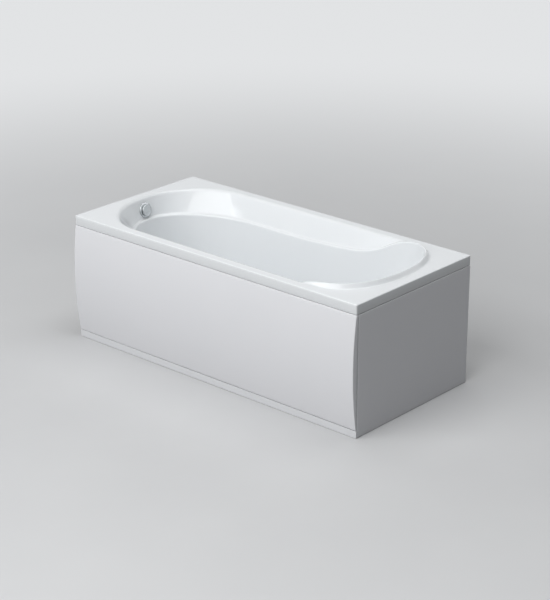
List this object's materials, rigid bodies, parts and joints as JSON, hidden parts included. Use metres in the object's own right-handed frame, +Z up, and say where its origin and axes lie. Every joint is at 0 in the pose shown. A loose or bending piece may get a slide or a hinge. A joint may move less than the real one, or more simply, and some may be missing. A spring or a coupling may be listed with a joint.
{
  "type": "acrylic bathtub",
  "caption": "Rectangular built-in acrylic bath with an oval basin, sloping backrest with a raised headrest lip, bowed front panel, end panel and pop-up waste.",
  "frame": {"origin": "on the floor under the middle of the bath, at the centre foot", "axes": "+X from the drain end to the backrest, +Y to the wall behind, +Z up"},
  "size_m": [1.5, 0.7155, 0.5585],
  "materials": {
    "acrylic": "gloss white, cast acrylic sheet",
    "fibreglass": "rough laid-up glass mat in resin",
    "chipboard": "raw chipboard",
    "timber": "planed softwood",
    "galvanised_steel": "galvanised sheet",
    "zinc_plated_steel": "bright zinc plate",
    "foot_plastic": "black moulded plastic",
    "panel_acrylic": "gloss white thermoformed sheet",
    "plinth_plastic": "satin white extruded plastic",
    "clip_plastic": "natural moulded plastic",
    "chrome": "polished chrome plate",
    "stainless_steel": "drawn bar",
    "rubber": "black rubber",
    "waste_plastic": "white moulded plastic, satin",
    "cable_sheath": "black cable sheath"
  },
  "bodies": {
    "bath": {"acrylic_shell": "acrylic", "base_board": "chipboard", "board_screws": "zinc_plated_steel", "bowden_cable": "cable_sheath", "cable_clips": "clip_plastic", "centre_foot_bracket": "galvanised_steel", "drain_end_cross_rail": "galvanised_steel", "drain_rim_batten": "timber", "end_panel": "panel_acrylic", "fibreglass_backing": "fibreglass", "foot_lock_nuts": "zinc_plated_steel", "front_panel": "panel_acrylic", "front_rim_batten": "timber", "head_end_cross_rail": "galvanised_steel", "head_rim_batten": "timber", "lower_panel_straps": "galvanised_steel", "lower_waste_seal": "rubber", "outlet_pipe": "waste_plastic", "overflow_body": "waste_plastic", "overflow_gasket": "rubber", "overflow_pipe": "waste_plastic", "overflow_ring": "chrome", "overflow_slip_nut": "waste_plastic", "panel_clips": "clip_plastic", "plinth_strip": "plinth_plastic", "rear_rim_batten": "timber", "strap_bolts": "zinc_plated_steel", "trap_bend": "waste_plastic", "trap_nuts": "waste_plastic", "upper_waste_seal": "rubber", "wall_hooks": "galvanised_steel", "waste_body": "waste_plastic", "waste_flange": "chrome"},
    "centre_foot": {"centre_foot_stud": "zinc_plated_steel", "centre_foot_pad": "foot_plastic"},
    "drain_end_front_foot": {"drain_end_front_foot_stud": "zinc_plated_steel", "drain_end_front_foot_pad": "foot_plastic"},
    "drain_end_rear_foot": {"drain_end_rear_foot_stud": "zinc_plated_steel", "drain_end_rear_foot_pad": "foot_plastic"},
    "head_end_front_foot": {"head_end_front_foot_stud": "zinc_plated_steel", "head_end_front_foot_pad": "foot_plastic"},
    "head_end_rear_foot": {"head_end_rear_foot_stud": "zinc_plated_steel", "head_end_rear_foot_pad": "foot_plastic"},
    "knob": {"control_knob": "chrome"},
    "plug": {"waste_plug": "chrome", "plug_seal": "rubber", "plug_stem": "stainless_steel"}
  },
  "joints": [
    {"name": "centre_foot_height", "type": "slide", "parent": "bath", "child": "centre_foot", "axis": [0, 0, -1], "range_m": [0, 0.02]},
    {"name": "drain_end_front_foot_height", "type": "slide", "parent": "bath", "child": "drain_end_front_foot", "axis": [0, 0, -1], "range_m": [0, 0.02]},
    {"name": "drain_end_rear_foot_height", "type": "slide", "parent": "bath", "child": "drain_end_rear_foot", "axis": [0, 0, -1], "range_m": [0, 0.02]},
    {"name": "head_end_front_foot_height", "type": "slide", "parent": "bath", "child": "head_end_front_foot", "axis": [0, 0, -1], "range_m": [0, 0.02]},
    {"name": "head_end_rear_foot_height", "type": "slide", "parent": "bath", "child": "head_end_rear_foot", "axis": [0, 0, -1], "range_m": [0, 0.02]},
    {"name": "knob_turn", "type": "hinge", "parent": "bath", "child": "knob", "pos_m": [-0.695, 0, 0.486], "axis": [0.9806, 0, 0.1961], "range_deg": [0, 90]},
    {"name": "plug_lift", "type": "slide", "parent": "bath", "child": "plug", "axis": [0, 0, 1], "range_m": [0, 0.01]}
  ],
  "couplings": [
    {"joint": "knob_turn", "follows": "plug_lift", "rad_per_m": 157}
  ]
}
